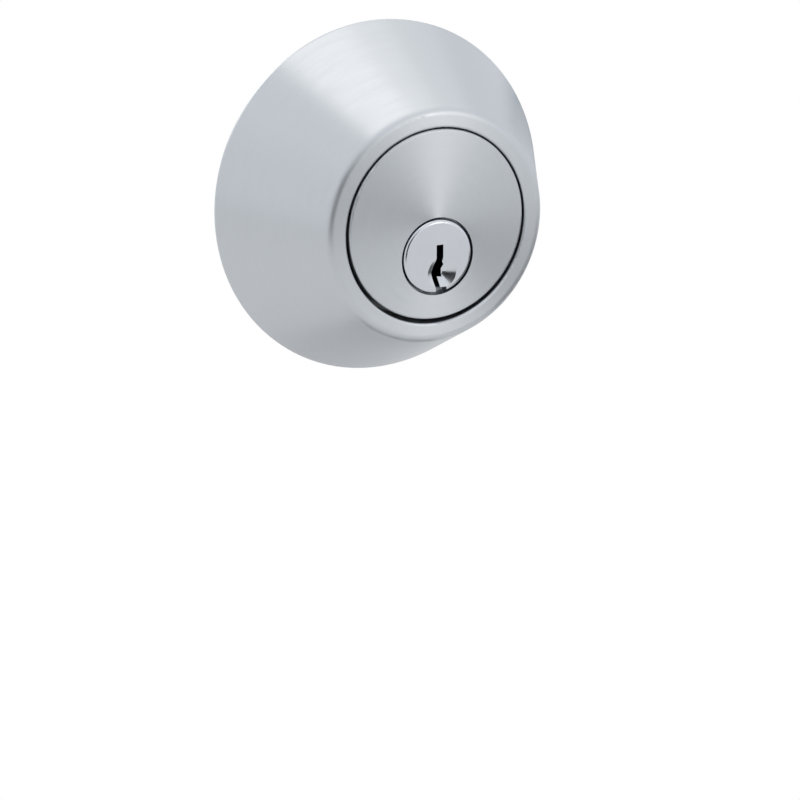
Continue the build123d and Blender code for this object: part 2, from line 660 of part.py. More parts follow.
def make_end_plate(x_from, countersunk):
    """A rounded plate at the door's edge, with the bolt's opening and two screw holes."""
    outline = Pos(CASE_Y, 0) * RectangleRounded(FACE_WIDTH, FACE_HEIGHT, FACE_CORNER)
    plate = slab_x(outline - bolt_section(BOLT_GAP), x_from, x_from + FACE_THICK)
    for z in FACE_SCREWS:
        plate -= rod_x(WOOD_SCREW_R + RUNNING_GAP, x_from - 1, x_from + FACE_THICK + 1, CASE_Y, z)
        if countersunk:
            plate -= wood_screw_head(z, RUNNING_GAP)
    return plate


def wood_screw_head(z, gap=0.0):
    """The cone of a countersunk head that ends flush with the face plate."""
    cone = Cone(
        WOOD_SCREW_R + gap,
        WOOD_SCREW_HEAD_R + gap,
        FACE_THICK,
        align=(Align.CENTER, Align.CENTER, Align.MIN),
    )
    place = Plane(origin=(BACKSET - FACE_THICK, CASE_Y, z), x_dir=(0, 1, 0), z_dir=(1, 0, 0))
    return place * cone


def make_face_screws():
    tip = BACKSET - WOOD_SCREW_LENGTH
    screws = []
    for z in FACE_SCREWS:
        place = Plane(origin=(tip, CASE_Y, z), x_dir=(0, 1, 0), z_dir=(1, 0, 0))
        point = place * Cone(
            WOOD_SCREW_R / 6, WOOD_SCREW_R, WOOD_SCREW_POINT, align=(Align.CENTER, Align.CENTER, Align.MIN)
        )
        thread = rod_x(WOOD_SCREW_R, tip + WOOD_SCREW_POINT, PLATE_BACK, CASE_Y, z)
        neck = rod_x(WOOD_SCREW_NECK_R, PLATE_BACK, BACKSET - FACE_THICK, CASE_Y, z)
        face = Plane(origin=(BACKSET, CASE_Y, z), x_dir=(0, 1, 0), z_dir=(1, 0, 0))
        screws.append(point + thread + neck + wood_screw_head(z) - cross_recess(face))
    return group(screws)


def machine_screw_head(x, gap=0.0):
    """The cone of a countersunk head that ends flush with the rose's face."""
    depth = SCREW_HEAD_R - SCREW_R
    cone = Cone(
        SCREW_R + gap, SCREW_HEAD_R + gap, depth, align=(Align.CENTER, Align.CENTER, Align.MIN)
    )
    place = Plane(origin=(x, ROSE_FACE - depth, 0), x_dir=(1, 0, 0), z_dir=(0, 1, 0))
    return place * cone


def make_mounting_screws():
    screws = []
    for x in SCREWS:
        shank = rod_y(SCREW_R, BODY_REACH - SCREW_DEPTH, ROSE_FACE - SCREW_HEAD_R + SCREW_R, x)
        face = Plane(origin=(x, ROSE_FACE, 0), x_dir=(1, 0, 0), z_dir=(0, 1, 0))
        screws.append(shank + machine_screw_head(x) - cross_recess(face))
    return group(screws)


def make_support_plate():
    back = DOOR_THICKNESS
    plate = rod_y(SUPPORT_R, back, back + SUPPORT_THICK) + rod_y(BEARING_R, back, back + BEARING_LENGTH)
    for x in SCREWS:
        plate += rod_y(BOSS_R, back, ROSE_FACE - ROSE_WALL, x)
    plate -= rod_y(NECK_R + RUNNING_GAP, back - 1, ROSE_FACE)
    for x in SCREWS:
        plate -= rod_y(SCREW_R + NECK_GAP, back - 1, ROSE_FACE, x)
        plate -= machine_screw_head(x, RUNNING_GAP)
    return plate


def make_inner_rose():
    face = ROSE_FACE
    under = face - ROSE_WALL
    lip = DOOR_THICKNESS + ROSE_LIP
    points = [
        (ROSE_BASE_R, DOOR_THICKNESS),
        (ROSE_BASE_R, lip),
        (ROSE_SHOULDER_R, face),
        (NECK_R + NECK_GAP, face),
        (NECK_R + NECK_GAP, under),
        (ROSE_INSIDE_R - ROSE_LEAN * (under - lip), under),
        (ROSE_INSIDE_R, lip),
        (ROSE_INSIDE_R, DOOR_THICKNESS),
    ]
    rose = turned(points, 0.0, [(2, ROSE_ROUND), (1, LIP_ROUND)])
    for x in SCREWS:
        rose -= machine_screw_head(x, RUNNING_GAP)
    return rose


def make_thumbturn():
    neck = rod_y(NECK_R, DOOR_THICKNESS - NECK_TAIL, FLANGE_LOW)
    neck += rod_y(FLANGE_R, FLANGE_LOW, PADDLE_LOW)
    top = PADDLE_LOW + PADDLE_HEIGHT
    half = PADDLE_LENGTH / 2
    root = PADDLE_LOW - FLANGE_THICK / 2
    side_view = closed_outline(
        [(root, -PADDLE_ROOT), (top - PADDLE_TOP, -half), (top, -half), (top, half),
         (top - PADDLE_TOP, half), (root, PADDLE_ROOT)],
        [(1, PADDLE_CORNER), (2, PADDLE_CORNER), (3, PADDLE_CORNER), (4, PADDLE_CORNER)],
    )
    paddle = slab_x(side_view, -PADDLE_THICK / 2, PADDLE_THICK / 2)
    rim = [e for e in paddle.edges() if abs(e.center().X) > PADDLE_THICK / 4 and e.center().Y > root + 0.1]
    paddle = fillet(rim, PADDLE_ROUND)
    turn = neck + paddle
    turn -= blade_slot(DOOR_THICKNESS - NECK_TAIL - 1, BLADE_END + TAIL_GAP)
    groove = rod_y(NECK_R + 1, CLIP_HIGH - CLIP_THICK - RUNNING_GAP, CLIP_HIGH + RUNNING_GAP)
    groove -= rod_y(CLIP_GROOVE_R, DOOR_THICKNESS - NECK_TAIL, DOOR_THICKNESS)
    return turn - groove


def make_turn_washer():
    ring = rod_y(FLANGE_R, ROSE_FACE, FLANGE_LOW)
    return ring - rod_y(NECK_R + 2 * RUNNING_GAP, ROSE_FACE - 1, FLANGE_LOW + 1)


def make_turn_clip():
    ring = rod_y(CLIP_R, CLIP_HIGH - CLIP_THICK, CLIP_HIGH)
    ring -= rod_y(CLIP_GROOVE_R + RUNNING_GAP, CLIP_HIGH - CLIP_THICK - 1, CLIP_HIGH + 1)
    half = CLIP_OPENING / 2
    return ring - block(-half, half, 0, DOOR_THICKNESS, -CLIP_R - 1, 0)


NODES = {
    "outer_collar": make_outer_collar,
    "collar_liner": make_collar_liner,
    "collar_washer": make_collar_washer,
    "cylinder_body": make_cylinder_body,
    "drill_guard_pins": make_guard_pins,
    "plug": make_plug,
    "key_pins": make_key_pins,
    "driver_pins": make_driver_pins,
    "pin_springs": make_pin_springs,
    "pin_cover": make_pin_cover,
    "plug_cap": make_plug_cap,
    "tailpiece": make_tailpiece,
    "bolt": make_bolt,
    "bolt_roller": make_bolt_roller,
    "roller_stop": make_roller_stop,
    "bolt_tail": make_bolt_tail,
    "tail_rivet": make_tail_rivet,
    "crank": make_crank,
    "drive_pin": make_drive_pin,
    "detent_leaf": make_detent_leaf,
    "case_plate_outer": lambda: make_case_plate(-1),
    "case_plate_inner": lambda: make_case_plate(1),
    "case_rivets": make_case_rivets,
    "bolt_sleeve": make_bolt_sleeve,
    "back_plate": lambda: make_end_plate(PLATE_BACK, False),
    "face_plate": lambda: make_end_plate(BACKSET - FACE_THICK, True),
    "face_screws": make_face_screws,
    "support_plate": make_support_plate,
    "inner_rose": make_inner_rose,
    "thumbturn": make_thumbturn,
    "turn_washer": make_turn_washer,
    "turn_clip": make_turn_clip,
    "mounting_screws": make_mounting_screws,
}

os.makedirs("parts", exist_ok=True)
for name, make in NODES.items():
    export_step(make(), f"parts/{name}.step")
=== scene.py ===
import math

import bpy
import numpy as np
from mathutils import Matrix, Vector


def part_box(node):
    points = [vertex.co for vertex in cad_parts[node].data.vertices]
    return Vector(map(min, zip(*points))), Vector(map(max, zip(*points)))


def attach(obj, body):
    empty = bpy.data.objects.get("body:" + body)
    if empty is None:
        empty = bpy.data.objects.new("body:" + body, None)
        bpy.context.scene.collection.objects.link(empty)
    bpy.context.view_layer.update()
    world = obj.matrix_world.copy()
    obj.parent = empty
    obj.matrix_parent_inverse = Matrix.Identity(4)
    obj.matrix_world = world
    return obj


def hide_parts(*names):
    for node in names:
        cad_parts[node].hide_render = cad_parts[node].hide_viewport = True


# A single-cylinder deadbolt: collar and key cylinder outside, bolt in the door's edge, turn inside.
# Everything is in metres in the lock's own frame. The origin lies on the key plug's axis at the door's
# outer face, +Y runs into the door, +X to the door's edge and +Z up.
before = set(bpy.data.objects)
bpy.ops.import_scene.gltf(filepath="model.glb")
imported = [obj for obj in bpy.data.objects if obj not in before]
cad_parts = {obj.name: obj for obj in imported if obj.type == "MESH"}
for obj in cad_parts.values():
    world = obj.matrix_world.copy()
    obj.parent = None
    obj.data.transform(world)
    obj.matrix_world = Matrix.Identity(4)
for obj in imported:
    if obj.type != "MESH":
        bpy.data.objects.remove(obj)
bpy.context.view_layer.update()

MM = 0.001
# A box is its low and its high corner, and a corner is its x, y and z.
LOW = 0
X, Y, Z = 0, 1, 2


def middle(node):
    """The middle of a node's box at rest."""
    low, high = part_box(node)
    return (Vector(low) + Vector(high)) / 2


# Axes and planes that the finishes and the threads follow, read from the pieces themselves.
COLLAR_AXIS = middle("outer_collar")
HEAD_AXIS = middle("cylinder_body")
ROSE_AXIS = middle("inner_rose")
PLUG_AXIS = middle("plug")
HEAD_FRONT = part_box("cylinder_body")[LOW][Y]
PLUG_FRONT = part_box("plug")[LOW][Y]
PLATE_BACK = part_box("back_plate")[LOW][X]

# The screws' heads, in the door's edge and through the door.
FACE_HEAD_R = 4.0 * MM
LONG_HEAD_R = 3.8 * MM
LONG_HEAD_HEIGHT = 1.8 * MM
# Their threads: the ridge is half its foot's share of the pitch, the point is the length that tapers to
# a blunt tip, which is a share of the full radius, and the steps are the rings of the surface. Where the
# surface turns by more than the edge's angle, it shows a sharp edge.
THREAD_SIDES = 28
THREAD_EDGE = math.radians(35)
BLUNT_TIP = 0.17
WOOD_THREAD = {
    "pitch": 2.1 * MM,
    "crest": 1.9 * MM,
    "root": 1.3 * MM,
    "ridge": 0.3,
    "point": 5 * MM,
    "steps": 110,
}
FINE_THREAD = {
    "pitch": 0.8 * MM,
    "crest": 2.0 * MM,
    "root": 1.6 * MM,
    "ridge": 0.45,
    "point": 1 * MM,
    "steps": 590,
}

# Marks of round brush, lap, belt and grinding wheel: how far apart they are drawn, and how much a round
# one changes on its way or how long a straight one is.
ROUND_BRUSH = {"spacing": 0.9 * MM, "wander": 2.5}
LAP = {"spacing": 0.6 * MM, "wander": 1.5}
BELT = {"spacing": 0.35 * MM, "length": 14 * MM}
WHEEL = {"spacing": 0.25 * MM, "length": 5 * MM}
MARK_HEIGHT = 0.05 * MM
# The sideways share that gives the sheen a direction on faces that straight marks run into.
END_SHARE = 0.02
# Noise of the marks, the clouds and the grain, and the span that most noise lies in.
MARK_NOISE = {"Scale": 1.0, "Detail": 4.0, "Roughness": 0.6}
CLOUD_NOISE = {"Detail": 3.0, "Roughness": 0.55}
GRAIN_NOISE = {"Detail": 2.0, "Roughness": 0.55}
GRAIN_STRENGTH = 0.2
NOISE_SPAN = {"From Min": 0.3, "From Max": 0.7}
METAL = {"Metallic": 1.0}
# Where plate turns dull and darker, partly unworked metal and partly painted shade in these recesses:
# from just outside the collar's hole to its wall, and between two depths behind the fronts of the
# cylinder's head and the plug.
COLLAR_HOLE_R = 17.95 * MM
HOLE_EDGE = 0.1 * MM
HEAD_RIM = (0.4 * MM, 0.7 * MM)
KEYWAY_MOUTH = (1.2 * MM, 2.0 * MM)

# Camera of the photograph, as fitted to the outlines of the collar, the cylinder's face and the plug.
# The pixel is where the cylinder's axis meets the door's outer face, in the middle of the collar's base.
# The sensor's width is in millimetres.
CAMERA_LEFT = math.radians(26.58)
CAMERA_UP = math.radians(20.63)
CAMERA_DISTANCE = 354 * MM
CAMERA_NEAR = CAMERA_DISTANCE / 10
PIXELS_PER_METRE = 5282.0
FRAME_PIXELS = 800
COLLAR_BASE_PIXEL = (380.5, 196.4)
SENSOR = 36.0
# The door hides what lies behind its outer face, so the photograph's camera sees no further than
# just past the collar's rim.
DOOR_DEPTH = 18.3 * MM

# The studio. The floor runs out into the white room between two distances from the lock, and the fill is
# the light that the room throws on things, as a share of white.
WHITE = "#FFFFFF"
FLOOR_TONE = "#F2F2F2"
# Dark felt grey, which also serves as painted shadow on the card under the lock.
FELT_AND_SHADOW_TONE = "#2C2C2C"
LAMP_TONE = "#FFF6EA"
DULL_BOARD = 0.9
FLOOR_LEVEL = -115 * MM
FLOOR_HALF = 4.0
FLOOR_FADE = (0.5, 1.6)
FILL = 0.85
# Dark cards, which only the metal shows: one stands behind the camera, one lies on the floor to its right,
# and one lies under the lock's face as painted shadow, in place of the lock's own shadow on the floor.
# Those on the floor go by left, right, near and far edge.
CAMERA_CARD = {"left": -0.42, "right": -0.03, "depth": -0.45, "top": 0.24}
FLOOR_CARDS = {"right_card": (0.125, 0.37, -0.225, -0.04), "painted_shadow_card": (-0.045, 0.045, -0.037, 0.0)}
CARD_LIFT = 1 * MM
# Soft panels: direction and distance from the cylinder's middle, width and height, watts. The first three
# begin at the same angle on the left, so the streak on the collar starts sharply and fades to the right.
PANELS = {
    "top_panel": ((-0.1, 0.08, 0.8), 0.82, (0.5, 0.8), 0.39),
    "wide_panel": ((0.02, 0.1, 0.8), 0.82, (0.78, 0.8), 0.48),
    "sweep_panel": ((0.16, 0.13, 0.79), 0.82, (1.17, 0.8), 0.63),
    "back_panel": ((-0.35, 0.85, 0.45), 0.9, (0.6, 0.4), 1.0),
    "face_panel": ((0.45, -0.88, 0.08), 1.8, (0.32, 0.44), 1.6),
    "rose_panel": ((0.5, 0.86, 0.02), 1.8, (0.32, 0.44), 1.3),
}


def linear(hex_colour):
    """An sRGB colour such as #C4C6C9 as linear red, green, blue and alpha."""
    value = np.array([int(hex_colour[i:i + 2], 16) for i in (1, 3, 5)]) / 255
    return (*np.where(value <= 0.04045, value / 12.92, ((value + 0.055) / 1.055) ** 2.4), 1.0)


def add(tree, kind, values=None, links=None, **settings):
    """Adds a node: settings are its own properties, values are set on its sockets, links feed them."""
    node = tree.nodes.new(kind)
    for name, value in settings.items():
        setattr(node, name, value)
    for socket, value in (values or {}).items():
        node.inputs[socket].default_value = value
    for socket, output in (links or {}).items():
        tree.links.new(output, node.inputs[socket])
    return node


def new_material(name):
    """An empty node material."""
    material = bpy.data.materials.new(name)
    material.use_nodes = True
    material.node_tree.nodes.clear()
    return material


def turned_lines(tree, axis, spacing, wander):
    """Brush lines in circles about an axis along Y.

    The pattern's middle coordinate is distance from the axis plus distance along it, in line spacings, so
    the lines stay the same width on a face, a cone and a wall. The other two are the outward direction
    times wander, so a line slowly changes on its way round and meets itself. Returns the line height, the
    outward direction, which is the way the sheen spreads, and the distances from and along the axis.
    """
    place = add(tree, "ShaderNodeTexCoord").outputs["Object"]
    from_axis = add(tree, "ShaderNodeVectorMath", {1: tuple(axis)}, {0: place}, operation="SUBTRACT")
    centred = from_axis.outputs[0]
    flat = add(tree, "ShaderNodeVectorMath", {1: (1, 0, 1)}, {0: centred}, operation="MULTIPLY").outputs[0]
    outward = add(tree, "ShaderNodeVectorMath", links={0: flat}, operation="NORMALIZE").outputs[0]
    radius = add(tree, "ShaderNodeVectorMath", links={0: flat}, operation="LENGTH").outputs["Value"]
    depth = add(tree, "ShaderNodeSeparateXYZ", links={0: centred}).outputs["Y"]
    reach = add(tree, "ShaderNodeMath", links={0: radius, 1: depth}, operation="ADD").outputs[0]
    count = add(tree, "ShaderNodeMath", {1: 1 / spacing}, {0: reach}, operation="MULTIPLY").outputs[0]
    across = add(tree, "ShaderNodeCombineXYZ", links={"Y": count}).outputs[0]
    pattern = add(
        tree, "ShaderNodeVectorMath", {1: (wander,) * 3}, {0: outward, 2: across}, operation="MULTIPLY_ADD"
    )
    lines = add(tree, "ShaderNodeTexNoise", MARK_NOISE, {"Vector": pattern.outputs[0]})
    return lines.outputs["Fac"], outward, radius, depth


def drawn_lines(tree, along, spacing, length):
    """Straight brush lines along one axis.

    Noise on object coordinates, in line lengths along the axis and in line spacings across it. Returns the
    line height and the direction across the lines on the surface, which is the way the sheen spreads. A
    small sideways share keeps that direction on faces the axis runs straight into.
    """
    coords = add(tree, "ShaderNodeTexCoord").outputs
    scale = tuple(1 / length if share else 1 / spacing for share in along)
    pattern = add(tree, "ShaderNodeVectorMath", {1: scale}, {0: coords["Object"]}, operation="MULTIPLY")
    lines = add(tree, "ShaderNodeTexNoise", MARK_NOISE, {"Vector": pattern.outputs[0]})
    across = add(tree, "ShaderNodeVectorMath", {1: along}, {0: coords["Normal"]}, operation="CROSS_PRODUCT")
    sideways = tuple(END_SHARE * along[(i + 1) % 3] for i in range(3))
    sheen = add(tree, "ShaderNodeVectorMath", {1: sideways}, {0: across.outputs[0]}, operation="ADD")
    return lines.outputs["Fac"], sheen.outputs[0]


def lined_metal(tree, lines, sheen, look, dull=None):
    """Metal worked by a brush, lap or wheel, with the sheen drawn out across the lines.

    Tone, shine and height follow the lines. The look gives the two tones, the span of roughness, how far
    the sheen is drawn out and how strongly the lines stand up. A dull part is the distance it is judged
    by, where it starts, where it is complete, and its tone: there the tool doesn't reach, and the metal
    takes a duller, darker tone, which is partly its own and partly painted shade in a recess.
    """
    ends = {"A": linear(look["tones"][0]), "B": linear(look["tones"][1])}
    tone = add(tree, "ShaderNodeMix", ends, {"Factor": lines}, data_type="RGBA").outputs["Result"]
    if dull:
        # Where the dull part lies in a recess, its darker tone is partly painted shade.
        distance, start, complete, dull_and_shade_tone = dull
        reach = {"From Min": start, "From Max": complete}
        share = add(tree, "ShaderNodeMapRange", reach, {"Value": distance}).outputs[0]
        feeds = {"Factor": share, "A": tone}
        mixed = add(tree, "ShaderNodeMix", {"B": linear(dull_and_shade_tone)}, feeds, data_type="RGBA")
        tone = mixed.outputs["Result"]
    span = {**NOISE_SPAN, "To Min": look["rough"][0], "To Max": look["rough"][1]}
    rough = add(tree, "ShaderNodeMapRange", span, {"Value": lines})
    height = {"Strength": look["relief"], "Distance": MARK_HEIGHT}
    relief = add(tree, "ShaderNodeBump", height, {"Height": lines})
    turn = {"vector_type": "VECTOR", "convert_from": "OBJECT", "convert_to": "WORLD"}
    tangent = add(tree, "ShaderNodeVectorTransform", links={0: sheen}, **turn)
    shader = add(
        tree,
        "ShaderNodeBsdfPrincipled",
        {**METAL, "Anisotropic": look["drawn"]},
        {
            "Base Color": tone,
            "Roughness": rough.outputs[0],
            "Normal": relief.outputs[0],
            "Tangent": tangent.outputs[0],
        },
    )
    add(tree, "ShaderNodeOutputMaterial", links={"Surface": shader.outputs[0]})


def clouded(name, basics, tones, rough, cloud_size, grain_size, relief):
    """A finish whose tone and shine drift in soft clouds, over a fine grain that breaks up the light.

    Clouds and grain are noise on object coordinates, of about these sizes. Relief is the grain's height.
    """
    material = new_material(name)
    tree = material.node_tree
    place = {"Vector": add(tree, "ShaderNodeTexCoord").outputs["Object"]}
    soft = {"Scale": 1 / cloud_size, **CLOUD_NOISE}
    cloud = add(tree, "ShaderNodeTexNoise", soft, place).outputs["Fac"]
    fine = {"Scale": 1 / grain_size, **GRAIN_NOISE}
    grain = add(tree, "ShaderNodeTexNoise", fine, place).outputs["Fac"]
    ends = {"A": linear(tones[0]), "B": linear(tones[1])}
    tone = add(tree, "ShaderNodeMix", ends, {"Factor": cloud}, data_type="RGBA")
    span = {**NOISE_SPAN, "To Min": rough[0], "To Max": rough[1]}
    shine = add(tree, "ShaderNodeMapRange", span, {"Value": cloud})
    height = {"Strength": GRAIN_STRENGTH, "Distance": relief}
    bump = add(tree, "ShaderNodeBump", height, {"Height": grain})
    shader = add(
        tree,
        "ShaderNodeBsdfPrincipled",
        basics,
        {
            "Base Color": tone.outputs["Result"],
            "Roughness": shine.outputs[0],
            "Normal": bump.outputs[0],
        },
    )
    add(tree, "ShaderNodeOutputMaterial", links={"Surface": shader.outputs[0]})
    return material


# Satin chrome plate: soft cool grey, brushed, with the sheen drawn well out across the brush lines.
SATIN_CHROME = {"tones": ("#BDC3CA", "#C8CED4"), "rough": (0.33, 0.43), "drawn": 0.75, "relief": 0.12}
# On the cylinder's face the same plate is a little darker than on the collar.
HEAD_CHROME = {**SATIN_CHROME, "tones": ("#B8BEC5", "#C3C9CF")}
# Lapped nickel plate: brighter and much smoother than the satin chrome round it.
LAPPED_NICKEL = {"tones": ("#C6CCD4", "#CFD4DB"), "rough": (0.16, 0.24), "drawn": 0.3, "relief": 0.02}
# Ground steel: bare neutral grey, smooth, with contrast between the marks.
GROUND_STEEL = {"tones": ("#A4A6A9", "#BBBDC0"), "rough": (0.18, 0.28), "drawn": 0.4, "relief": 0.05}


def spun_collar():
    """Satin chrome on spun brass, brushed in circles; the wall of the collar's hole is dull and darker,
    partly as painted shade.
    """
    material = new_material("satin_chrome_spun_collar")
    tree = material.node_tree
    # Brush lines of this finish are about 0.05 mm apart; they are drawn coarser, so that they show.
    lines, sheen, radius, _ = turned_lines(tree, COLLAR_AXIS, **ROUND_BRUSH)
    # The hole's wall takes a darker grey: partly bare metal, partly painted shade in the groove round the
    # cylinder's face.
    in_hole = (radius, COLLAR_HOLE_R + HOLE_EDGE, COLLAR_HOLE_R, "#868C94")
    lined_metal(tree, lines, sheen, SATIN_CHROME, in_hole)
    return material


def turned_head():
    """Satin chrome on the die-cast cylinder's face, brushed in circles; behind the face it is as cast, and
    darker partly as painted shade in the groove.
    """
    material = new_material("satin_chrome_turned_head")
    tree = material.node_tree
    # As on the collar, the lines are drawn coarser than they are.
    lines, sheen, _, depth = turned_lines(tree, HEAD_AXIS, **ROUND_BRUSH)
    front = HEAD_FRONT - HEAD_AXIS.y
    # Behind the face a darker grey: partly the bare casting, partly painted shade in the groove round the
    # face.
    behind_face = (depth, front + HEAD_RIM[0], front + HEAD_RIM[1], "#9CA2A9")
    lined_metal(tree, lines, sheen, HEAD_CHROME, behind_face)
    return material


def spun_rose():
    """Satin chrome on the pressed inner rose, brushed in circles like the collar."""
    material = new_material("satin_chrome_spun_rose")
    tree = material.node_tree
    # As on the collar, the lines are drawn coarser than they are.
    lines, sheen, _, _ = turned_lines(tree, ROSE_AXIS, **ROUND_BRUSH)
    lined_metal(tree, lines, sheen, SATIN_CHROME)
    return material


def drawn_satin(name, along):
    """Satin chrome brushed straight along one axis, which draws the sheen out across it."""
    material = new_material(name)
    tree = material.node_tree
    # Belt-brush lines are about 0.05 mm apart; they are drawn coarser, so that they show.
    lines, sheen = drawn_lines(tree, along, **BELT)
    lined_metal(tree, lines, sheen, SATIN_CHROME)
    return material


def lapped_plug():
    """Nickel plate on a brass plug, lapped flat: smoother than the face round it, dull and darker in the
    keyway, partly as painted shade.
    """
    material = new_material("nickel_plated_lapped_plug")
    tree = material.node_tree
    # Lapping marks are a few hundredths of a millimetre apart; they are drawn coarser, so that they show.
    lines, sheen, _, depth = turned_lines(tree, PLUG_AXIS, **LAP)
    front = PLUG_FRONT - PLUG_AXIS.y
    # In the keyway a darker grey: partly unlapped plate, partly painted shade in the slot.
    in_keyway = (depth, front + KEYWAY_MOUTH[0], front + KEYWAY_MOUTH[1], "#949AA3")
    lined_metal(tree, lines, sheen, LAPPED_NICKEL, in_keyway)
    return material


def ground_steel():
    """Hardened pin steel, ground to size: smooth neutral grey with fine straight grinding marks."""
    material = new_material("ground_hardened_steel")
    tree = material.node_tree
    # Grinding marks are about 0.02 mm apart; they are drawn coarser, so that they show.
    lines, sheen = drawn_lines(tree, (0, 1, 0), **WHEEL)
    lined_metal(tree, lines, sheen, GROUND_STEEL)
    return material


def plated_screw():
    """Satin chrome on rolled screw steel: cool grey, uneven where the plate is thin in the thread."""
    return clouded(
        "satin_chrome_plated_screw",
        METAL,
        tones=("#A9AEB5", "#C6CBD1"),
        rough=(0.28, 0.4),
        cloud_size=1.5 * MM,
        grain_size=0.2 * MM,
        relief=0.01 * MM,
    )


def cast_zinc():
    """Zinc die casting, tumbled and left bare: dull grey with soft flow marks and a visible grain."""
    return clouded(
        "zinc_die_casting",
        METAL,
        tones=("#85888B", "#A3A6A9"),
        rough=(0.42, 0.58),
        cloud_size=4 * MM,
        grain_size=0.4 * MM,
        relief=0.05 * MM,
    )


def zinc_plated_steel():
    """Pressed sheet steel with clear zinc plate: bright cool grey, clouded by the plating bath."""
    return clouded(
        "zinc_plated_pressed_steel",
        METAL,
        tones=("#C0C6CC", "#D8DCE0"),
        rough=(0.26, 0.4),
        cloud_size=6 * MM,
        grain_size=0.5 * MM,
        relief=0.015 * MM,
    )


def turned_brass():
    """Free-cutting brass off the lathe: warm yellow, a little uneven where hands and oil have dulled it."""
    return clouded(
        "free_cutting_brass",
        METAL,
        tones=("#C8A965", "#E0C788"),
        rough=(0.22, 0.34),
        cloud_size=2.5 * MM,
        grain_size=0.2 * MM,
        relief=0.01 * MM,
    )


def spring_steel():
    """Hardened spring strip and wire, oil tempered: dark grey with a faint brown and blue cloud."""
    return clouded(
        "oil_tempered_spring_steel",
        METAL,
        tones=("#6C6A6B", "#868C95"),
        rough=(0.25, 0.36),
        cloud_size=2 * MM,
        grain_size=0.2 * MM,
        relief=0.01 * MM,
    )


def moulded_nylon():
    """Injection-moulded natural nylon: milky white, with a soft dull shine and a faint moulded grain."""
    return clouded(
        "moulded_natural_nylon",
        {"IOR": 1.53},
        tones=("#DDD9CC", "#E8E5DB"),
        rough=(0.4, 0.5),
        cloud_size=5 * MM,
        grain_size=0.3 * MM,
        relief=0.02 * MM,
    )


def thread_grid(along, thread):
    """A screw thread as a closed surface, with the tip at the origin and the axis as third coordinate.

    The grid is distance along the screw by angle round it. The radius is the root plus the thread's depth
    times a ridge, which is a triangle of the distance in pitches less the angle in turns, so that it
    climbs one pitch a turn. Over the point, all of it shrinks in step with the distance to the tip. A
    vertex on the axis closes each end.
    """
    angle = np.linspace(0, 2 * np.pi, THREAD_SIDES, endpoint=False)
    phase = (along[:, None] / thread["pitch"] - angle / (2 * np.pi)) % 1.0
    height = np.clip(1 - np.abs(phase - 0.5) / thread["ridge"], 0, 1)
    taper = np.clip(along / thread["point"], BLUNT_TIP, 1)[:, None]
    radius = taper * (thread["root"] + (thread["crest"] - thread["root"]) * height)
    distance = np.broadcast_to(along[:, None], radius.shape)
    rings = np.stack([radius * np.cos(angle), radius * np.sin(angle), distance], axis=-1)
    ends = [[0, 0, along[0]], [0, 0, along[-1]]]
    points = np.concatenate([rings.reshape(-1, 3), ends])
    index = np.arange(along.size * THREAD_SIDES).reshape(along.size, THREAD_SIDES)
    after = np.roll(index, -1, axis=1)
    here, there = index[:-1].ravel(), index[1:].ravel()
    here_after, there_after = after[:-1].ravel(), after[1:].ravel()
    tip, base = np.full(THREAD_SIDES, index.size), np.full(THREAD_SIDES, index.size + 1)
    faces = np.concatenate(
        [
            np.stack([here, here_after, there_after], axis=-1),
            np.stack([here, there_after, there], axis=-1),
            np.stack([tip, after[0], index[0]], axis=-1),
            np.stack([base, index[-1], after[-1]], axis=-1),
        ]
    )
    return points, faces


def screw_heads(node, axis, tips, level):
    """The heads of a screw node, beyond a level along an axis and closed there, as points and faces.

    The triangles that lie beyond the level are kept, without the flat ones on it, and corners that share
    a place to a micrometre become one point. An edge that no neighbour runs the other way is free, and a
    fan from the screw's axis closes the free edges.
    """
    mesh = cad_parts[node].data
    corners = np.empty(len(mesh.vertices) * 3)
    mesh.vertices.foreach_get("co", corners)
    order = np.empty(len(mesh.loops), dtype=int)
    mesh.loops.foreach_get("vertex_index", order)
    triangles = corners.reshape(-1, 3)[order].reshape(-1, 3, 3)
    beyond = triangles[:, :, axis] - level
    near = 0.01 * MM
    kept = (beyond > -near).all(axis=1) & ~(np.abs(beyond) < near).all(axis=1)
    micron = 0.001 * MM
    loose = np.round(triangles[kept].reshape(-1, 3) / micron)
    places, faces = np.unique(loose, axis=0, return_inverse=True)
    points, faces = places * micron, faces.reshape(-1, 3)
    faces = faces[(faces != np.roll(faces, 1, axis=1)).all(axis=1)]
    starts, ends = faces.ravel(), np.roll(faces, -1, axis=1).ravel()
    free = ~np.isin(starts * len(points) + ends, ends * len(points) + starts)
    middles = np.array(tips)
    middles[:, axis] = level
    gaps = np.linalg.norm(points[starts[free], None] - middles, axis=-1)
    fans = np.stack([ends[free], starts[free], len(points) + gaps.argmin(axis=1)], axis=-1)
    return np.concatenate([points, middles]), np.concatenate([faces, fans])


def threaded_screws(node, axis, tips, level, thread):
    """Screws with a cut thread in place of plain shanks: the CAD heads, and a thread for each tip."""
    along = np.linspace(0, level - tips[0][axis], thread["steps"])
    thread_points, thread_faces = thread_grid(along, thread)
    # The thread's third coordinate becomes the screw's axis, and the other two follow it in turn.
    order = [(i - axis - 1) % 3 for i in range(3)]
    points, faces = screw_heads(node, axis, tips, level)
    for tip in tips:
        faces = np.concatenate([faces, thread_faces + len(points)])
        points = np.concatenate([points, thread_points[:, order] + np.array(tip)])
    mesh = bpy.data.meshes.new("threaded_" + node)
    mesh.from_pydata(points, [], faces)
    mesh.shade_smooth()
    mesh.set_sharp_from_angle(angle=THREAD_EDGE)
    mesh.materials.append(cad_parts[node].material_slots[0].material)
    screws = bpy.data.objects.new("threaded_" + node, mesh)
    bpy.context.collection.objects.link(screws)
    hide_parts(node)
    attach(screws, "lock_case")


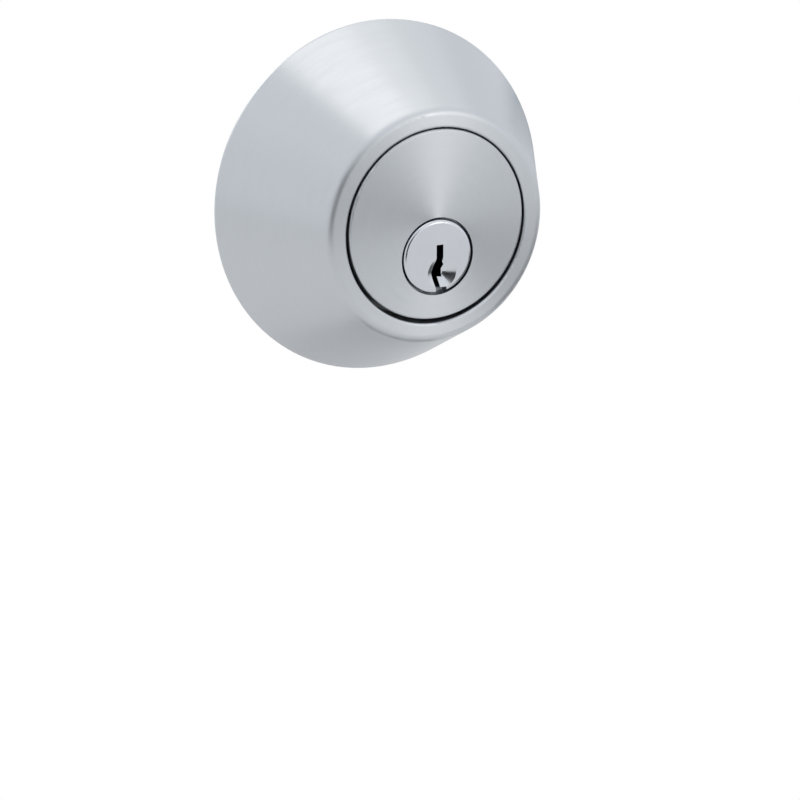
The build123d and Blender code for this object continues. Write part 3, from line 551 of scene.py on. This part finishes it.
def finish_nodes():
    """Gives each CAD node the finish of its real material."""
    groups = [
        (spun_collar(), ["outer_collar"]),
        (turned_head(), ["cylinder_body"]),
        (lapped_plug(), ["plug"]),
        (spun_rose(), ["inner_rose"]),
        (drawn_satin("satin_chrome_brushed_turn", (0, 0, 1)), ["thumbturn"]),
        (drawn_satin("satin_chrome_brushed_bolt", (1, 0, 0)), ["bolt"]),
        (drawn_satin("satin_chrome_brushed_plate", (0, 0, 1)), ["face_plate"]),
        (plated_screw(), ["face_screws", "mounting_screws"]),
        (cast_zinc(), ["collar_liner", "crank", "support_plate"]),
        (
            zinc_plated_steel(),
            [
                "tailpiece",
                "roller_stop",
                "bolt_tail",
                "tail_rivet",
                "case_plate_outer",
                "case_plate_inner",
                "case_rivets",
                "bolt_sleeve",
                "back_plate",
            ],
        ),
        (turned_brass(), ["key_pins", "driver_pins", "pin_cover", "plug_cap"]),
        (spring_steel(), ["collar_washer", "pin_springs", "detent_leaf", "turn_clip"]),
        (ground_steel(), ["drill_guard_pins", "bolt_roller", "drive_pin"]),
        (moulded_nylon(), ["turn_washer"]),
    ]
    for material, names in groups:
        for name in names:
            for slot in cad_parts[name].material_slots:
                slot.material = material


def cut_threads():
    """A coarse wood thread on the screws in the door's edge, a fine machine thread on those through it."""
    low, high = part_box("face_screws")
    depth = (low[Y] + high[Y]) / 2
    tips = [(low[X], depth, height) for height in (low[Z] + FACE_HEAD_R, high[Z] - FACE_HEAD_R)]
    threaded_screws("face_screws", X, tips, PLATE_BACK, WOOD_THREAD)
    low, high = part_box("mounting_screws")
    height = (low[Z] + high[Z]) / 2
    tips = [(side, low[Y], height) for side in (low[X] + LONG_HEAD_R, high[X] - LONG_HEAD_R)]
    threaded_screws("mounting_screws", Y, tips, high[Y] - LONG_HEAD_HEIGHT, FINE_THREAD)


def photograph_camera():
    """The camera at the photograph's angle: it looks straight at the frame's middle, without roll."""
    side, rise = CAMERA_LEFT, CAMERA_UP
    back = Vector((-math.sin(side) * math.cos(rise), -math.cos(side) * math.cos(rise), math.sin(rise)))
    right = Vector((math.cos(side), -math.sin(side), 0))
    up = Vector((math.sin(side) * math.sin(rise), math.cos(side) * math.sin(rise), math.cos(rise)))
    base = Vector((0, 0, HEAD_AXIS.z))
    half = FRAME_PIXELS / 2
    along = (COLLAR_BASE_PIXEL[0] - half) / PIXELS_PER_METRE
    above = (half - COLLAR_BASE_PIXEL[1]) / PIXELS_PER_METRE
    data = bpy.data.cameras.new("photograph_camera")
    data.sensor_width = SENSOR
    data.lens = SENSOR * PIXELS_PER_METRE * CAMERA_DISTANCE / FRAME_PIXELS
    data.clip_start = CAMERA_NEAR
    data.clip_end = CAMERA_DISTANCE + base.dot(back) + DOOR_DEPTH
    camera = bpy.data.objects.new("photograph_camera", data)
    place = base - right * along - up * above + back * CAMERA_DISTANCE
    camera.matrix_world = Matrix.Translation(place) @ Matrix((right, up, back)).transposed().to_4x4()
    bpy.context.collection.objects.link(camera)
    bpy.context.scene.camera = camera


def soft_panel(name, towards, distance, size, watts):
    """A soft light aimed at the cylinder's middle from a direction; its width runs as near X as it can."""
    data = bpy.data.lights.new(name, "AREA")
    data.shape = "RECTANGLE"
    data.size, data.size_y = size
    data.energy = watts
    data.color = linear(LAMP_TONE)[:3]
    lamp = bpy.data.objects.new(name, data)
    back = Vector(towards).normalized()
    side = (Vector((1, 0, 0)) - back * back.x).normalized()
    turn = Matrix((side, back.cross(side), back)).transposed().to_4x4()
    lamp.matrix_world = Matrix.Translation(HEAD_AXIS + back * distance) @ turn
    lamp.visible_camera = False
    bpy.context.collection.objects.link(lamp)


def seen_straight(tree):
    """1 for what is seen, straight on, in a mirror or through glass; 0 for light that falls on things."""
    path = add(tree, "ShaderNodeLightPath").outputs
    views = {0: path["Is Camera Ray"], 1: path["Is Glossy Ray"]}
    seen = add(tree, "ShaderNodeMath", links=views, operation="MAXIMUM").outputs[0]
    through = {0: seen, 1: path["Is Transmission Ray"]}
    return add(tree, "ShaderNodeMath", links=through, operation="MAXIMUM").outputs[0]


def white_studio():
    """A white room: white to the eye and in reflections, and a weaker even fill for all other light."""
    world = bpy.data.worlds.new("white_studio")
    world.use_nodes = True
    tree = world.node_tree
    tree.nodes.clear()
    level = add(tree, "ShaderNodeMapRange", {"To Min": FILL, "To Max": 1.0}, {"Value": seen_straight(tree)})
    sky = add(tree, "ShaderNodeBackground", {"Color": linear(WHITE)}, {"Strength": level.outputs[0]})
    add(tree, "ShaderNodeOutputWorld", links={"Surface": sky.outputs[0]})
    bpy.context.scene.world = world


def flat_board(name, corners, material):
    """A flat board of the studio, given by its corners."""
    mesh = bpy.data.meshes.new(name)
    mesh.from_pydata(corners, [], [(0, 1, 2, 3)])
    mesh.materials.append(material)
    board = bpy.data.objects.new(name, mesh)
    bpy.context.collection.objects.link(board)
    return board


def pale_floor():
    """A plain pale board under the lock: it takes the shadow, and far off it turns into the white room."""
    material = new_material("pale_painted_board")
    # The far floor's white is for the eye and for reflections, so it lights nothing as a lamp would.
    material.cycles.emission_sampling = "NONE"
    tree = material.node_tree
    place = add(tree, "ShaderNodeTexCoord").outputs["Object"]
    away = add(tree, "ShaderNodeVectorMath", links={0: place}, operation="LENGTH").outputs["Value"]
    ends = {"From Min": FLOOR_FADE[0], "From Max": FLOOR_FADE[1]}
    far = add(tree, "ShaderNodeMapRange", ends, {"Value": away}, interpolation_type="SMOOTHSTEP").outputs[0]
    share = add(tree, "ShaderNodeMath", links={0: far, 1: seen_straight(tree)}, operation="MULTIPLY")
    paint = {"Base Color": linear(FLOOR_TONE), "Roughness": DULL_BOARD}
    board = add(tree, "ShaderNodeBsdfPrincipled", paint)
    room = add(tree, "ShaderNodeEmission", {"Color": linear(WHITE), "Strength": 1.0})
    both = {0: share.outputs[0], 1: board.outputs[0], 2: room.outputs[0]}
    floor = add(tree, "ShaderNodeMixShader", links=both)
    add(tree, "ShaderNodeOutputMaterial", links={"Surface": floor.outputs[0]})
    corners = [(-1, -1), (1, -1), (1, 1), (-1, 1)]
    flat_board("floor", [(x * FLOOR_HALF, y * FLOOR_HALF, FLOOR_LEVEL) for x, y in corners], material)


def dark_cards():
    """Dark felt cards that only the metal shows, as the dark sides of a studio; the one under the lock is a
    painted shadow.
    """
    material = new_material("black_felt_and_shadow_card")
    tree = material.node_tree
    surface = {"Base Color": linear(FELT_AND_SHADOW_TONE), "Roughness": DULL_BOARD}
    felt = add(tree, "ShaderNodeBsdfPrincipled", surface)
    add(tree, "ShaderNodeOutputMaterial", links={"Surface": felt.outputs[0]})
    left, right, depth, top = CAMERA_CARD.values()
    corners = ((left, FLOOR_LEVEL), (right, FLOOR_LEVEL), (right, top), (left, top))
    cards = {"camera_card": [(x, depth, z) for x, z in corners]}
    for name, (left, right, near, far) in FLOOR_CARDS.items():
        corners = ((left, near), (right, near), (right, far), (left, far))
        cards[name] = [(x, y, FLOOR_LEVEL + CARD_LIFT) for x, y in corners]
    for name, corners in cards.items():
        card = flat_board(name, corners, material)
        card.visible_camera = False
        card.visible_diffuse = False
        card.visible_shadow = False


finish_nodes()
cut_threads()
photograph_camera()
white_studio()
pale_floor()
dark_cards()
for panel, (towards, distance, size, watts) in PANELS.items():
    soft_panel(panel, towards, distance, size, watts)
bpy.context.scene.view_settings.view_transform = "Standard"
